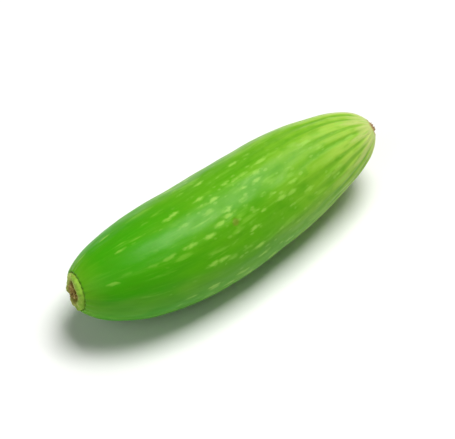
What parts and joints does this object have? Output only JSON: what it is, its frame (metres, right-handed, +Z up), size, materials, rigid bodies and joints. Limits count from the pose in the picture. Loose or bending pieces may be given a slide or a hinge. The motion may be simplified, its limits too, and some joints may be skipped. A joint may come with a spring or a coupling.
{
  "type": "ivy gourd",
  "caption": "Small smooth gourd lying on its side: a long, slightly bent green fruit with pale streaks, a snapped stalk and a dried flower tip.",
  "frame": {"origin": "on the surface that the fruit lies on, under the middle of its box", "axes": "+X from the stalk end to the flower end, +Y towards the hollow side of the bend, +Z up"},
  "size_m": [0.0594, 0.0188, 0.0184],
  "materials": {
    "skin": "satin",
    "cork": "matte",
    "withered_flower": "matte"
  },
  "bodies": {
    "root": {"fruit": "skin", "stalk_stub": "cork", "flower_remnant": "withered_flower"}
  },
  "joints": []
}
